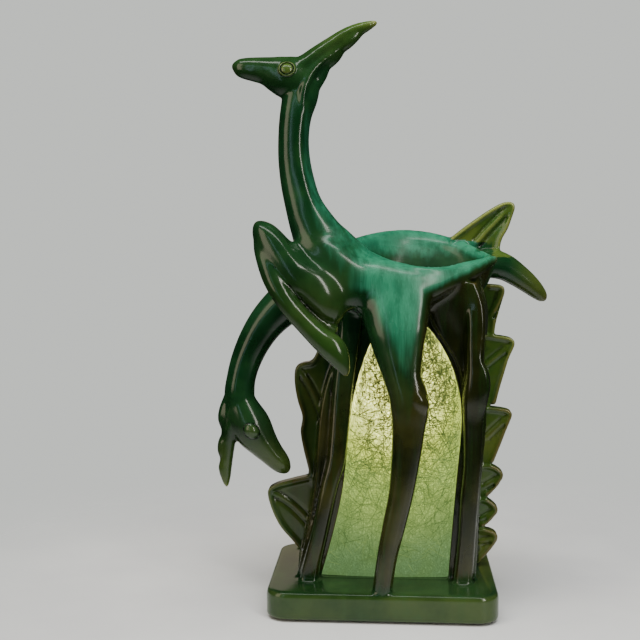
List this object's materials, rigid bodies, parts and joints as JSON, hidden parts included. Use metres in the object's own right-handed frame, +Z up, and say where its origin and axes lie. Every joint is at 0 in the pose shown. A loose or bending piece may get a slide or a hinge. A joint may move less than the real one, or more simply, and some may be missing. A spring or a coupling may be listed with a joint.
{
  "type": "television lamp",
  "caption": "Glazed ceramic television lamp: a standing and a grazing gazelle back to back round a planter, over an arch with a backlit fibreglass screen.",
  "frame": {"origin": "on the resting surface, under the middle of the plinth, which is the middle of the whole lamp's bounding box within half a millimetre", "axes": "+Z up; +X along the wide front, from the animals' heads to their tails; +Y from the front to the open back"},
  "size_m": [0.2227, 0.1174, 0.384],
  "materials": {
    "glaze": "deep green glaze, glossy, lighter and streaked on the backs",
    "felt": "green felt",
    "fibreglass": "resin-bonded glass fibre sheet, translucent, with dark strands",
    "pipe_brass": "threaded",
    "bushing_plastic": "satin",
    "washer_steel": "zinc plated",
    "nut_steel": "zinc plated",
    "brass": "spun, aged",
    "screw_steel": "plated",
    "liner_card": "waxed board",
    "phenolic": "moulded phenolic",
    "screw_brass": "turned",
    "contact_brass": "bright",
    "shaft_steel": "plated",
    "knob_plastic": "black moulded",
    "grommet_rubber": "satin",
    "bulb_cap_metal": "rolled thin sheet",
    "bulb_insulator_glass": "black fused glass",
    "bulb_contact_metal": "tinned",
    "bulb_glass": "lightly frosted",
    "stem_glass": "clear",
    "lead_wire": "wire",
    "filament_wire": "coiled tungsten"
  },
  "bodies": {
    "lamp": {"plinth": "glaze", "screen_arch": "glaze", "planter": "glaze", "standing_hind_leg": "glaze", "standing_neck": "glaze", "standing_head": "glaze", "standing_horn": "glaze", "folded_foreleg": "glaze", "grazing_foreleg": "glaze", "grazing_hind_leg": "glaze", "grazing_tail": "glaze", "grazing_neck": "glaze", "grazing_head": "glaze", "grazing_horn": "glaze", "left_leaves": "glaze", "right_leaves": "glaze", "crown_leaf": "glaze", "screen_lugs": "glaze", "felt_pads": "felt", "fibreglass_screen": "fibreglass", "threaded_pipe": "pipe_brass", "pipe_bushing": "bushing_plastic", "pipe_washer": "washer_steel", "locknuts": "nut_steel", "holder_neck": "brass", "holder_cap": "brass", "set_screw": "screw_steel", "holder_shell": "brass", "holder_liner": "liner_card", "holder_block": "phenolic", "terminal_screws": "screw_brass", "screw_shell": "contact_brass", "centre_contact": "contact_brass", "switch_bushing": "screw_brass", "cord_grommet": "grommet_rubber"},
    "switch": {"switch_shaft": "shaft_steel", "switch_knob": "knob_plastic"},
    "bulb_tip": {"bulb_contact": "bulb_contact_metal"},
    "bulb": {"bulb_cap": "bulb_cap_metal", "bulb_insulator": "bulb_insulator_glass", "bulb_glass": "bulb_glass", "bulb_stem": "stem_glass", "bulb_leads": "lead_wire", "bulb_filament": "filament_wire"}
  },
  "joints": [
    {"name": "switch_turn", "type": "hinge", "parent": "lamp", "child": "switch", "pos_m": [0.012, 0.04, 0.061], "axis": [0, 1, 0], "continuous": true},
    {"name": "bulb_travel", "type": "slide", "parent": "lamp", "child": "bulb_tip", "axis": [0, 0, 1], "range_m": [0, 0.01814]},
    {"name": "bulb_turn", "type": "hinge", "parent": "bulb_tip", "child": "bulb", "pos_m": [0.012, 0.016, 0.08], "axis": [0, 0, 1], "range_deg": [0, 1800]}
  ],
  "couplings": [
    {"joint": "bulb_turn", "follows": "bulb_travel", "rad_per_m": 1730.9}
  ]
}
